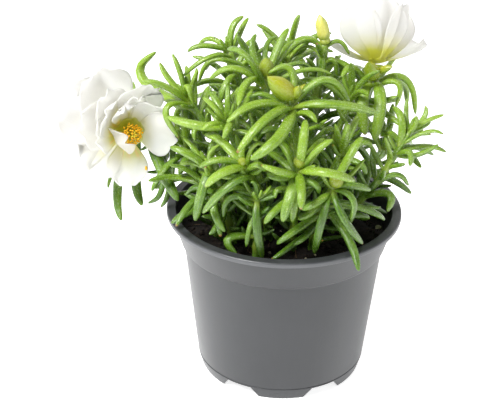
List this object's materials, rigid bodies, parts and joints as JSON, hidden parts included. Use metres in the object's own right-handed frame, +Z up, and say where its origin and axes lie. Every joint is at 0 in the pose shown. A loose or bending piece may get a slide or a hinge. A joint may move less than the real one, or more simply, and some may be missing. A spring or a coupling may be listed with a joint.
{
  "type": "portulaca in its pot",
  "caption": "Bushy portulaca with fleshy leaves, open white flowers and yellow-green buds, growing in soil in a round tapered nursery pot.",
  "frame": {"origin": "on the pot's axis, at the surface that the pot stands on", "axes": "+Z up along the pot's axis, -Y towards the viewer of the picture, +X to the viewer's right"},
  "size_m": [0.1978, 0.1388, 0.1928],
  "materials": {
    "pot": "satin grey moulded plastic",
    "soil": "dark crumbly peat",
    "leaves": "fleshy, glossy green",
    "petals": "thin, soft white with a yellow-green foot",
    "stamens": "powdery orange",
    "bud": "smooth pale yellow"
  },
  "bodies": {
    "root": {"flower_bud_top": "bud", "flower_left_petals": "petals", "flower_left_stamens": "stamens", "flower_right_petals": "petals", "flower_right_stamens": "stamens", "leafy_stem_back_1": "leaves", "leafy_stem_back_10": "leaves", "leafy_stem_back_11": "leaves", "leafy_stem_back_12": "leaves", "leafy_stem_back_2": "leaves", "leafy_stem_back_3": "leaves", "leafy_stem_back_4": "leaves", "leafy_stem_back_5": "leaves", "leafy_stem_back_6": "leaves", "leafy_stem_back_7": "leaves", "leafy_stem_back_8": "leaves", "leafy_stem_back_9": "leaves", "leafy_stem_bud_front": "leaves", "leafy_stem_bud_left": "leaves", "leafy_stem_bud_top": "leaves", "leafy_stem_flower_left": "leaves", "leafy_stem_flower_right": "leaves", "leafy_stem_front": "leaves", "leafy_stem_front_left": "leaves", "leafy_stem_front_right": "leaves", "leafy_stem_inner_right": "leaves", "leafy_stem_left": "leaves", "leafy_stem_low_front": "leaves", "leafy_stem_low_left": "leaves", "leafy_stem_right": "leaves", "leafy_stem_upper_left": "leaves", "leafy_stem_upper_left_back": "leaves", "pot": "pot", "potting_soil": "soil"}
  },
  "joints": []
}
